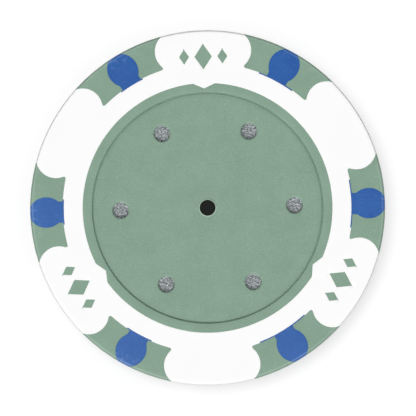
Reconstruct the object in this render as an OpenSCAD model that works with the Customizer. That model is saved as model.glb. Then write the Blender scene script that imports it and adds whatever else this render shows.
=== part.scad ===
// Three-colour weighted gaming chip, bare of its labels.
// The frame's origin is the middle of the lower face, +Z is up and +Y points to a marked lobe.

/* [Chip] */
// Outside diameter of the chip
chip_d = 39; // [37:0.5:43]
// Thickness of the chip
chip_t = 3.3; // [3:0.1:4]
// Radius of the rounded edges of the rim
rim_round = 0.2; // [0.1:0.05:0.5]
// Distance that the rim wall leans out from each face to the parting line at mid height
rim_draft = 0.06; // [0.03:0.01:0.2]

/* [Label recess] */
// Depth of the bare label recess in each face
recess_depth = 0.2; // [0.1:0.02:0.3]
// Radius of the rounded lip at the top of the recess wall
lip_round = 0.08; // [0.04:0.01:0.2]
// Width of the witness groove at the foot of the recess wall
groove_w = 0.18; // [0.1:0.02:0.3]
// Depth of the witness groove below the recess floor
groove_depth = 0.08; // [0.02:0.01:0.12]

/* [White ring and lobes] */
// Radial width of the border between the ring and the rim
border_w = 3.6; // [3.2:0.05:4]
// Radial width of the white ring
ring_w = 2.2; // [1.6:0.05:2.6]
// Radial width of the green land between the recess and the ring
land_w = 1.02; // [0.9:0.02:1.5]
// Depth of the white moulding in each face
shot_depth = 0.8; // [0.5:0.05:1]
// Thickness of the white wall that wraps the rim at each lobe
edge_wall = 0.9; // [0.6:0.05:1.2]
// Radius of the arcs at the two sides of a lobe
lobe_arc_r = 2.22; // [2.05:0.01:2.4]
// Distance of the arcs' centres from the rim
lobe_arc_inset = 1.98; // [1.8:0.01:2.15]
// Angle from the middle of a lobe to the arcs' centres
lobe_spread = 10.1; // [8:0.1:11]
// Radius in the corner where a lobe grows out of the ring
corner_round = 0.2; // [0.1:0.02:0.4]

/* [Pointed tooth] */
// Depth of the tooth inside the ring at each marked lobe
tooth_depth = 0.6; // [0.4:0.02:0.7]
// Width of the tooth where it leaves the ring
tooth_w = 2.4; // [1.8:0.1:3]
// Radius at the root of the tooth
tooth_root_round = 0.4; // [0.2:0.05:0.6]
// Radius at the tip of the tooth
tooth_tip_round = 0.1; // [0.05:0.01:0.2]

/* [Diamond marks] */
// Distance of the marks' centres from the rim
mark_inset = 2.9; // [2.6:0.05:3.2]
// Length of the middle diamond along the radius
mark_l = 2.8; // [2:0.1:3.2]
// Width of the middle diamond
mark_w = 1.9; // [1.2:0.1:2.4]
// Length of each side diamond along the radius
side_mark_l = 1.6; // [1:0.1:2.4]
// Width of each side diamond
side_mark_w = 1.1; // [0.6:0.1:1.4]
// Clear space between the middle diamond and each side diamond
side_mark_gap = 0.6; // [0.3:0.05:1]

/* [Edge spots] */
// Width of a blue spot across its widest place
spot_w = 3.34; // [3:0.02:3.6]
// Radius of the arcs at the two sides of a spot
spot_arc_r = 2.02; // [1.9:0.01:2.3]
// Distance of the arcs' centres from the rim
spot_arc_inset = 1.79; // [1.6:0.01:1.9]
// Width of the neck between a spot and the ring
neck_w = 2.32; // [2:0.02:2.5]
// Radial width of the foot strip that shows at the edge of the ring
strip_w = 0.12; // [0.08:0.01:0.2]
// Radial width of the foot that is locked under the ring
foot_w = 1; // [0.5:0.05:1.4]
// Thickness of white over the hidden foot
foot_cover = 0.45; // [0.3:0.01:0.5]
// Angle from the middle of each spot to the ends of its foot, in the order of the spots
foot_angles = [9.5, 7.5, 5, 5, 5.5, 10.5]; // [4.5:0.5:11.5]

/* [Slug and holes] */
// Thickness of the steel slug
slug_t = 2; // [1.6:0.05:2.2]
// Distance of the slug's edge inside the recess wall
slug_cover = 0.28; // [0.2:0.02:0.6]
// Chamfer on the edges of the slug
slug_chamfer = 0.15; // [0.05:0.01:0.3]
// Diameter of the locating hole through the middle
hole_d = 1.75; // [1.4:0.05:2.2]
// Thickness of the plastic sleeve that lines the slug's hole
sleeve_wall = 0.4; // [0.3:0.05:0.8]
// Distance of the top of the raised lip round the locating hole below the face of the chip
hole_lip_inset = 0.08; // [0.02:0.01:0.09]
// Diameter of each mould pin hole
pin_d = 1.75; // [1.4:0.05:2.2]
// Distance of the pin holes' centres from the recess wall
pin_inset = 3.14; // [2.4:0.02:4]
// Radius of the rounded mouth of each pin hole
pin_round = 0.16; // [0.05:0.01:0.25]

/* [Hidden] */
$fn = 96;

// Colours of the four materials
green = "#89A592";
white = "#FBFBFA";
blue = "#3E67AA";
steel = "#8C8E91";

// The pattern repeats six times round the chip, and every second lobe carries the marks
lobe_count = 6;
repeat_angle = 360 / lobe_count;
marked_step = 2;
// Cuts run this far past the faces that they open
over = 1;

chip_r = chip_d / 2;
mid_z = chip_t / 2;
ring_outer = chip_r - border_w;
ring_inner = ring_outer - ring_w;
ring_mid = (ring_outer + ring_inner) / 2;
recess_r = ring_inner - land_w;
floor_z = chip_t - recess_depth;
// The lip can be no taller than the wall that it rounds
lip_r = min(lip_round, recess_depth);
web_top = chip_t - shot_depth;
lobe_pitch_r = chip_r - lobe_arc_inset;
spot_pitch_r = chip_r - spot_arc_inset;
mark_pitch_r = chip_r - mark_inset;
strip_inner = ring_outer - strip_w;
foot_inner = ring_outer - foot_w;
slug_r = recess_r - slug_cover;
slug_low = mid_z - slug_t / 2;
slug_top = mid_z + slug_t / 2;
hole_r = hole_d / 2;
sleeve_r = hole_r + sleeve_wall;
hole_lip = recess_depth - hole_lip_inset;
pin_r = pin_d / 2;
pin_pitch_r = recess_r - pin_inset;

// Angle of a triangle with sides a, b and c, between a and b
function angle_between(a, b, c) = acos((a * a + b * b - c * c) / (2 * a * b));
// Point at a distance from the centre and a clockwise angle from +Y
function at(radius, angle) = radius * [sin(angle), cos(angle)];

// Repeats its children on the lower face as the mirror image of the upper one
module both_faces() {
    children();
    translate([0, 0, chip_t]) mirror([0, 0, 1]) children();
}

// Draws its children once at +X and once mirrored at -X
module both_sides() {
    children();
    mirror([1, 0]) children();
}

module ring_2d(inner, outer) {
    difference() {
        circle(outer);
        circle(inner);
    }
}

// Wedge about +Y that reaches past the rim
module wedge_2d(half_angle) {
    reach = (chip_r + over) / cos(half_angle);
    polygon([[0, 0], at(reach, -half_angle), at(reach, half_angle)]);
}

module diamond_2d(length, width) {
    polygon([[0, length / 2], [width / 2, 0], [0, -length / 2], [-width / 2, 0]]);
}

// Half section of the chip's outer shape: a wall that leans out to the parting line, between rounded edges.
// Each edge circle touches its face and the leaning wall.
module blank_profile_2d() {
    lean = atan2(rim_draft, mid_z);
    edge_r = chip_r - (rim_round + (mid_z - rim_round) * sin(lean)) / cos(lean);
    touch_r = edge_r + rim_round * cos(lean);
    touch_up = mid_z - rim_round * (1 - sin(lean));
    square([edge_r, chip_t]);
    polygon([
        [0, mid_z - touch_up],
        [touch_r, mid_z - touch_up],
        [chip_r, mid_z],
        [touch_r, mid_z + touch_up],
        [0, mid_z + touch_up]
    ]);
    for (z = [rim_round, chip_t - rim_round])
        translate([edge_r, z]) circle(rim_round);
}

module chip_blank() {
    rotate_extrude() blank_profile_2d();
}

// What a rounded lip takes off a half section, at the top of a wall
module lip_2d(wall_r, top_z, round_r) {
    difference() {
        translate([wall_r, top_z - round_r]) square([round_r, round_r + over]);
        translate([wall_r + round_r, top_z - round_r]) circle(round_r);
    }
}

// Half section of the label recess, with its rounded lip and its witness groove
module recess_profile_2d() {
    translate([0, floor_z]) square([recess_r, recess_depth + over]);
    translate([recess_r - groove_w, floor_z - groove_depth]) square([groove_w, groove_depth + recess_depth]);
    lip_2d(recess_r, chip_t, lip_r);
}

// Fillet between the side arc of a lobe and the outer edge of the ring.
// Its circle touches both from outside, so the three centres make a triangle of known sides.
module lobe_corner_2d() {
    to_corner = lobe_arc_r + corner_round;
    corner_pitch_r = ring_outer + corner_round;
    corner_turn = lobe_spread + angle_between(lobe_pitch_r, corner_pitch_r, to_corner);
    meet_turn = lobe_spread + angle_between(lobe_pitch_r, ring_outer, lobe_arc_r);
    arc_centre = at(lobe_pitch_r, lobe_spread);
    corner_centre = at(corner_pitch_r, corner_turn);
    meet = at(ring_outer, meet_turn);
    // All but one of the points lie one corner radius inside the white
    in_lobe = corner_centre + (arc_centre - corner_centre) * 2 * corner_round / to_corner;
    in_both = meet + (meet - corner_centre) * corner_round / norm(meet - corner_centre);
    in_ring = at(ring_outer - corner_round, corner_turn);
    difference() {
        polygon([corner_centre, in_lobe, in_both, in_ring]);
        translate(corner_centre) circle(corner_round);
    }
}

// One lobe about +Y, from the middle of the ring to past the rim
module lobe_2d() {
    intersection() {
        wedge_2d(lobe_spread);
        ring_2d(ring_mid, chip_r + over);
    }
    both_sides() {
        translate(at(lobe_pitch_r, lobe_spread)) circle(lobe_arc_r);
        lobe_corner_2d();
    }
}

module lobes_2d() {
    for (i = [0 : lobe_count - 1])
        rotate(i * repeat_angle) lobe_2d();
}

// Draws its children at every marked lobe
module at_marked_lobes() {
    for (i = [0 : marked_step : lobe_count - 1])
        rotate(i * repeat_angle) children();
}

// Half of a tooth at +X, up to a line through the centre of its root fillet.
// The fillet's circle touches the flank from below and the ring's edge from inside.
module half_tooth_2d(tip, root) {
    flank = (root - tip) / norm(root - tip);
    below = [flank.y, -flank.x];
    start = tip + tooth_root_round * below;
    root_pitch_r = ring_inner - tooth_root_round;
    along = sqrt(pow(start * flank, 2) - start * start + pow(root_pitch_r, 2)) - start * flank;
    root_centre = start + along * flank;
    difference() {
        polygon([
            tip,
            tip + along * flank,
            root_centre,
            root_centre * (ring_inner + tooth_depth) / root_pitch_r,
            [0, ring_inner + tooth_depth]
        ]);
        translate(root_centre) circle(tooth_root_round);
    }
}

// Pointed tooth about +Y that reaches inwards from the ring, with a rounded tip
module tooth_2d() {
    root = [tooth_w / 2, sqrt(pow(ring_inner, 2) - pow(tooth_w / 2, 2))];
    tip = [0, ring_inner - tooth_depth];
    half_point = atan2(root.x, root.y - tip.y);
    tip_centre = tip + [0, tooth_tip_round / sin(half_point)];
    tip_flat = tip_centre.y - tooth_tip_round * sin(half_point);
    difference() {
        both_sides() half_tooth_2d(tip, root);
        translate([-tooth_w / 2, 0]) square([tooth_w, tip_flat]);
    }
    translate(tip_centre) circle(tooth_tip_round);
}

// Row of three diamonds about +Y
module marks_2d() {
    side_x = mark_w / 2 + side_mark_gap + side_mark_w / 2;
    translate([0, mark_pitch_r]) diamond_2d(mark_l, mark_w);
    both_sides() translate([side_x, mark_pitch_r]) diamond_2d(side_mark_l, side_mark_w);
}

// What shows white on a face
module white_face_2d() {
    difference() {
        union() {
            ring_2d(ring_inner, ring_outer);
            lobes_2d();
            at_marked_lobes() tooth_2d();
        }
        at_marked_lobes() marks_2d();
    }
}

// Space that the white takes up: a layer in each face, joined by a wall round the rim at each lobe
module white_space() {
    both_faces() translate([0, 0, web_top]) linear_extrude(shot_depth + over) white_face_2d();
    translate([0, 0, -over]) linear_extrude(chip_t + 2 * over) intersection() {
        lobes_2d();
        ring_2d(chip_r - edge_wall, chip_r + over);
    }
}

// Part of the ring that a spot's foot covers, from a radius out to the ring's edge
module foot_2d(inner, half_angle) {
    intersection() {
        ring_2d(inner, ring_outer);
        wedge_2d(half_angle);
    }
}

// One spot and its neck about +Y, from the foot strip to past the rim
module spot_2d() {
    arc_shift = spot_arc_r - spot_w / 2;
    intersection() {
        translate([arc_shift, spot_pitch_r]) circle(spot_arc_r);
        translate([-arc_shift, spot_pitch_r]) circle(spot_arc_r);
    }
    difference() {
        translate([-neck_w / 2, 0]) square([neck_w, spot_pitch_r]);
        circle(strip_inner);
        // The neck ends where the spot's arcs are as wide as it is
        translate([-neck_w, ring_outer + neck_reach()]) square([2 * neck_w, chip_r]);
    }
}

// Distance from the ring to the place where the spot's arcs are as wide as the neck
function neck_reach() =
    spot_pitch_r - ring_outer - sqrt(pow(spot_arc_r, 2) - pow(spot_arc_r - (spot_w - neck_w) / 2, 2));

// Post of a spot, through the whole chip
module spot_post() {
    translate([0, 0, -over]) linear_extrude(chip_t + 2 * over) spot_2d();
}

// Feet of a spot: under the ring in each face, with a strip that shows at the ring's edge
module spot_feet(half_angle) {
    both_faces() translate([0, 0, web_top]) {
        linear_extrude(shot_depth + over) foot_2d(strip_inner, half_angle);
        linear_extrude(shot_depth - foot_cover) foot_2d(foot_inner, half_angle);
    }
}

// Spot number 1 is at +X, and the others follow anticlockwise
module at_spot(number) {
    rotate((number - 1) * repeat_angle - 90) children();
}

module all_posts() {
    for (number = [1 : lobe_count])
        at_spot(number) spot_post();
}

module all_feet() {
    for (number = [1 : lobe_count])
        at_spot(number) spot_feet(foot_angles[number - 1]);
}

// Half section of the slug, chamfered at its outer edges
module slug_profile_2d() {
    polygon([
        [sleeve_r, slug_low],
        [slug_r - slug_chamfer, slug_low],
        [slug_r, slug_low + slug_chamfer],
        [slug_r, slug_top - slug_chamfer],
        [slug_r - slug_chamfer, slug_top],
        [sleeve_r, slug_top]
    ]);
}

module slug_blank() {
    rotate_extrude() slug_profile_2d();
}

// One mould pin hole in the upper face, from the slug to the rounded mouth
module pin_hole() {
    rotate_extrude() {
        translate([0, mid_z]) square([pin_r, mid_z + over]);
        lip_2d(pin_r, floor_z, pin_round);
    }
}

module pin_holes() {
    for (i = [0 : lobe_count - 1])
        rotate(i * repeat_angle) translate([pin_pitch_r, 0, 0]) pin_hole();
}

// Raised lip round the locating hole on the upper recess floor
module hole_lip_ring() {
    rotate_extrude() intersection() {
        translate([hole_r, floor_z]) circle(hole_lip);
        translate([hole_r, floor_z - hole_lip]) square(2 * hole_lip);
    }
}

// Steel disc that gives the chip its weight, sealed in the body
module steel_slug() {
    color(steel) slug_blank();
}

// Green body, moulded first round the slug
module body_moulding() {
    color(green) difference() {
        union() {
            difference() {
                chip_blank();
                both_faces() rotate_extrude() recess_profile_2d();
            }
            both_faces() hole_lip_ring();
        }
        white_space();
        all_posts();
        slug_blank();
        translate([0, 0, -over]) cylinder(h = chip_t + 2 * over, r = hole_r);
        both_faces() pin_holes();
    }
}

// White ring and lobes, moulded over the body as one piece that wraps the rim
module white_moulding() {
    color(white) difference() {
        intersection() {
            chip_blank();
            white_space();
        }
        all_posts();
        all_feet();
    }
}

// One blue spot, moulded through the chip and locked under the ring by its feet
module edge_spot(number) {
    color(blue) intersection() {
        chip_blank();
        at_spot(number) {
            spot_post();
            spot_feet(foot_angles[number - 1]);
        }
    }
}

steel_slug();
body_moulding();
white_moulding();
edge_spot(1);  // edge_spot_1
edge_spot(2);  // edge_spot_2
edge_spot(3);  // edge_spot_3
edge_spot(4);  // edge_spot_4
edge_spot(5);  // edge_spot_5
edge_spot(6);  // edge_spot_6
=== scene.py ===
"""Looks of a three-colour weighted gaming chip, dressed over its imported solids.

A green body is moulded round a steel slug, a white ring with six lobes is moulded over it, and six blue
spots are moulded last. All the plastic pieces come from one warped polar grid of small bricks, so that
their seams meet. Lengths in the classes are in millimetres and angles in radians unless a name says
otherwise.
"""

import logging
import math
from dataclasses import dataclass
from enum import Enum, IntEnum
from typing import NamedTuple

import bpy
import numpy as np
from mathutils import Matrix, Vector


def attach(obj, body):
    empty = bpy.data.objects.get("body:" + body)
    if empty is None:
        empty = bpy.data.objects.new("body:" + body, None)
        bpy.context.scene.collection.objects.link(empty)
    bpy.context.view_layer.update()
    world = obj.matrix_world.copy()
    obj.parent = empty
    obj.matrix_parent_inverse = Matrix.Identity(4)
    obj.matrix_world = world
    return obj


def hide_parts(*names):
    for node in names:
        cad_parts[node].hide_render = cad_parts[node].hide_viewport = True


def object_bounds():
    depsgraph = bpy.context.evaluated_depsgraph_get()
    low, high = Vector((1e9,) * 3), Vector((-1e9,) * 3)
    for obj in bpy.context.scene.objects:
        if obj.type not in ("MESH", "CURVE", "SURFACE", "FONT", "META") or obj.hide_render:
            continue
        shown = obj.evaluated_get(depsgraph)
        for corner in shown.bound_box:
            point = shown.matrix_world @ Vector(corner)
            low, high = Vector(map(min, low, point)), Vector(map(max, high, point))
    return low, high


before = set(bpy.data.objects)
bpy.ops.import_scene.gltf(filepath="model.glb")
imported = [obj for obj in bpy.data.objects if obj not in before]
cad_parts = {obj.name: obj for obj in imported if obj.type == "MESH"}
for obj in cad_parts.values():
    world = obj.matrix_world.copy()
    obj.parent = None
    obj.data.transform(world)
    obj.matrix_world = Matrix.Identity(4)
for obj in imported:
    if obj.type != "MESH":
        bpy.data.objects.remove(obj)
CAD_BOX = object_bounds()

log = logging.getLogger("chip")

MM = 0.001
BODY = "root"
WHITE = "#FFFFFF"
QUARTER_TURN = math.pi / 2

# Edges that turn by more than this are drawn sharp
SHARP_ANGLE = math.radians(24)
# The heights behind the noise repeat after this many cells
NOISE_CELLS = 64
# Corners of a brick's side, in the order that turns the side along its axis or against it
FAR_WALK = ((0, 0), (1, 0), (1, 1), (0, 1))
NEAR_WALK = ((0, 0), (0, 1), (1, 1), (1, 0))

Array = np.ndarray
Tree = bpy.types.NodeTree
Socket = bpy.types.NodeSocket
Material = bpy.types.Material
Piece = bpy.types.Object


class Shot(IntEnum):
    """What fills a brick of the grid. A spot's number is added to FIRST_SPOT."""

    SLUG = 0
    BODY = 1
    WHITE = 2
    FIRST_SPOT = 3


class Column(IntEnum):
    """Kind of a column of bricks, from the middle of a spot to the middle of a lobe."""

    SPOT = 0
    FOOT = 1
    GAP = 2
    LOBE = 3
    SIDE_MARK = 4
    BETWEEN = 5
    MIDDLE_MARK = 6


class Edge(Enum):
    """Rows of the grid where something starts or ends."""

    SLEEVE = "inner edge of the slug"
    PIN_START = "inner end of the field round a pin hole"
    PIN_END = "outer end of the field round a pin hole"
    SLUG_EDGE = "outer edge of the slug"
    RING_INNER = "inner edge of the white ring"
    FOOT_INNER = "inner edge of a spot's hidden foot"
    STRIP_INNER = "inner edge of a spot's foot strip"
    RING_OUTER = "outer edge of the white ring"
    RIM_WALL = "inner face of the white wall round the rim"


class Layer(IntEnum):
    """Layers of bricks from the lower face to the upper one."""

    LOW_SKIN = 0
    LOW_FOOT = 1
    LOW_CORE = 2
    LOW_PARTING = 3
    HIGH_PARTING = 4
    HIGH_CORE = 5
    HIGH_FOOT = 6
    HIGH_SKIN = 7


def linear(hex_colour: str) -> tuple[float, float, float, float]:
    """Turns an sRGB hex colour into linear RGBA, by the sRGB curve.

    Args:
        hex_colour: Colour as #RRGGBB.

    Returns:
        Linear red, green and blue, with an alpha of one.
    """
    coded = [int(hex_colour[i : i + 2], 16) / 255 for i in (1, 3, 5)]
    plain = [c / 12.92 if c <= 0.04045 else ((c + 0.055) / 1.055) ** 2.4 for c in coded]
    return (*plain, 1.0)


def smooth_step(low: float, high: float, value: Array) -> Array:
    """Rises from 0 at low to 1 at high along the cubic 3t^2 - 2t^3."""
    t = np.clip((value - low) / (high - low), 0, 1)
    return t * t * (3 - 2 * t)


def angle_between(a: Array, b: Array, c: Array) -> Array:
    """Angle between sides a and b of a triangle whose third side is c, by the cosine rule."""
    return np.arccos(np.clip((a * a + b * b - c * c) / (2 * a * b), -1, 1))


def value_noise(x: Array, y: Array, cell: float, seed: int) -> Array:
    """Smooth noise: seeded heights at the corners of square cells, blended across each cell by a cubic.

    Args:
        x: First coordinate of the points.
        y: Second coordinate of the points.
        cell: Side of a cell, in the unit of the coordinates.
        seed: Seed of the heights.

    Returns:
        Heights from 0 to 1, in the shape of the coordinates.
    """
    heights = np.random.default_rng(seed).random((NOISE_CELLS, NOISE_CELLS))
    column, row = np.floor(x / cell).astype(int), np.floor(y / cell).astype(int)
    across, up = smooth_step(0, 1, x / cell - column), smooth_step(0, 1, y / cell - row)
    low_left, low_right, high_left, high_right = [
        heights[(column + i) % NOISE_CELLS, (row + j) % NOISE_CELLS] for j in (0, 1) for i in (0, 1)
    ]
    low = low_left * (1 - across) + low_right * across
    high = high_left * (1 - across) + high_right * across
    return low * (1 - up) + high * up


def add_node(
    tree: Tree, kind: str, inputs: dict[str | int, object] | None = None, **settings: object
) -> bpy.types.Node:
    """Adds one node to a tree, with its settings and links.

    Args:
        tree: Tree that gets the node.
        kind: Blender's name of the node type.
        inputs: Value or output socket for each input, by its name or number.
        settings: Properties of the node.

    Returns:
        The new node.
    """
    node = tree.nodes.new(kind)
    for name, value in settings.items():
        setattr(node, name, value)
    for key, value in (inputs or {}).items():
        if isinstance(value, Socket):
            tree.links.new(value, node.inputs[key])
        else:
            node.inputs[key].default_value = value
    return node


def empty_tree(owner: Material | bpy.types.World) -> Tree:
    """Gives a material or the world an empty node tree.

    Args:
        owner: Material or world.

    Returns:
        Its tree.
    """
    owner.use_nodes = True
    owner.node_tree.nodes.clear()
    return owner.node_tree


def shown_rays(tree: Tree) -> Socket:
    """Tells the rays that show a surface, directly or by a reflection, from those that only carry its light.

    Args:
        tree: Tree that gets the nodes.

    Returns:
        One for camera, glossy and transmission rays, otherwise zero.
    """
    rays = add_node(tree, "ShaderNodeLightPath").outputs
    shown = rays["Is Camera Ray"]
    for other in ("Is Glossy Ray", "Is Transmission Ray"):
        shown = add_node(tree, "ShaderNodeMath", {0: shown, 1: rays[other]}, operation="MAXIMUM").outputs[0]
    return shown


def make_piece(name: str, points: Array, quads: Array, material: Material) -> Piece:
    """Makes a closed mesh object from points and quads, with the points that no quad uses left out.

    Args:
        name: Name of the object.
        points: Points in millimetres, one row each.
        quads: Four point numbers a row, anticlockwise seen from outside.
        material: Material of the whole piece.

    Returns:
        The new object, at the origin, riding on the chip's body.
    """
    used, numbers = np.unique(quads, return_inverse=True)
    mesh = bpy.data.meshes.new(name)
    mesh.from_pydata((points[used] * MM).tolist(), [], numbers.reshape(quads.shape).tolist())
    mesh.polygons.foreach_set("use_smooth", np.ones(len(quads), dtype=bool))
    mesh.set_sharp_from_angle(angle=SHARP_ANGLE)
    mesh.materials.append(material)
    piece = bpy.data.objects.new(name, mesh)
    bpy.context.scene.collection.objects.link(piece)
    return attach(piece, BODY)


@dataclass(frozen=True)
class ChipSizes:
    """Sizes of the chip. The two outside sizes come from the frame."""

    chip_r: float
    chip_t: float
    # Rim, with its draft and the ridge at the parting line
    rim_round: float = 0.2
    rim_draft: float = 0.06
    parting_h: float = 0.02
    parting_w: float = 0.05
    # Recess, with its lip, the groove at the foot of its wall and the fall of its floor towards the groove
    recess_depth: float = 0.2
    lip_round: float = 0.08
    groove_w: float = 0.18
    groove_depth: float = 0.08
    slope_w: float = 0.75
    slope_depth: float = 0.015
    # White ring and the border round it, with the green land inside it
    border_w: float = 3.6
    ring_w: float = 2.2
    land_w: float = 1.02
    shot_depth: float = 0.8
    edge_wall: float = 0.9
    # White lobes and teeth
    lobe_arc_r: float = 2.22
    lobe_arc_inset: float = 1.98
    lobe_spread: float = math.radians(10.1)
    corner_round: float = 0.2
    tooth_depth: float = 0.6
    tooth_w: float = 2.4
    tooth_root_round: float = 0.4
    tooth_tip_round: float = 0.1
    # Diamonds on every second lobe
    mark_inset: float = 2.9
    mark_l: float = 2.8
    mark_w: float = 1.9
    side_mark_l: float = 1.6
    side_mark_w: float = 1.1
    side_mark_gap: float = 0.6
    # Blue spots, with the angle from each one's axis to the end of its foot
    spot_w: float = 3.34
    spot_arc_r: float = 2.02
    spot_arc_inset: float = 1.79
    neck_w: float = 2.32
    strip_w: float = 0.12
    foot_w: float = 1.0
    foot_cover: float = 0.45
    foot_degrees: tuple[float, ...] = (9.5, 7.5, 5.0, 5.0, 5.5, 10.5)
    # Slug
    slug_t: float = 2.0
    slug_cover: float = 0.28
    slug_chamfer: float = 0.15
    # Middle hole and pin holes
    hole_r: float = 0.875
    sleeve_wall: float = 0.4
    hole_lip: float = 0.12
    pin_r: float = 0.875
    pin_inset: float = 3.14
    pin_round: float = 0.16
    # Fine lines where two colours meet
    seam_depth: float = 0.025
    seam_w: float = 0.04
    repeats: int = 6

    @property
    def turn(self) -> float:
        """Angle from one spot to the next."""
        return 2 * math.pi / self.repeats

    @property
    def middle_z(self) -> float:
        """Height of the parting line."""
        return self.chip_t / 2

    @property
    def lean(self) -> float:
        """Angle by which the rim wall leans out from each face to the parting line."""
        return math.atan2(self.rim_draft, self.middle_z)

    @property
    def rim_start(self) -> float:
        """Radius where the rim's rounded edge starts: its circle touches the face and the leaning wall."""
        straight = (self.middle_z - self.rim_round) * math.sin(self.lean)
        return self.chip_r - (self.rim_round + straight) / math.cos(self.lean)

    @property
    def floor_z(self) -> float:
        """Height of the floor of the upper recess."""
        return self.chip_t - self.recess_depth

    @property
    def wall_inner(self) -> float:
        """Inner radius of the white wall round the rim."""
        return self.chip_r - self.edge_wall

    @property
    def ring_outer(self) -> float:
        """Outer radius of the white ring."""
        return self.chip_r - self.border_w

    @property
    def ring_inner(self) -> float:
        """Inner radius of the white ring, away from its teeth."""
        return self.ring_outer - self.ring_w

    @property
    def recess_r(self) -> float:
        """Radius of the recess wall."""
        return self.ring_inner - self.land_w

    @property
    def strip_inner(self) -> float:
        """Inner radius of the foot strips that show at the edge of the ring."""
        return self.ring_outer - self.strip_w

    @property
    def foot_inner(self) -> float:
        """Inner radius of the feet under the ring."""
        return self.ring_outer - self.foot_w

    @property
    def slug_r(self) -> float:
        """Outer radius of the slug."""
        return self.recess_r - self.slug_cover

    @property
    def slug_top(self) -> float:
        """Height of the upper face of the slug."""
        return (self.chip_t + self.slug_t) / 2

    @property
    def sleeve_r(self) -> float:
        """Radius of the slug's hole, outside its plastic sleeve."""
        return self.hole_r + self.sleeve_wall

    @property
    def pin_pitch_r(self) -> float:
        """Distance of the pin holes from the middle of the chip."""
        return self.recess_r - self.pin_inset

    @property
    def mark_pitch_r(self) -> float:
        """Distance of the marks' centres from the middle of the chip."""
        return self.chip_r - self.mark_inset

    @property
    def marks_end(self) -> float:
        """Radius of the marks' outer end."""
        return self.mark_pitch_r + self.mark_l / 2

    @property
    def side_mark_x(self) -> float:
        """Distance of a side mark's centre from the lobe's axis."""
        return self.mark_w / 2 + self.side_mark_gap + self.side_mark_w / 2


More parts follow.
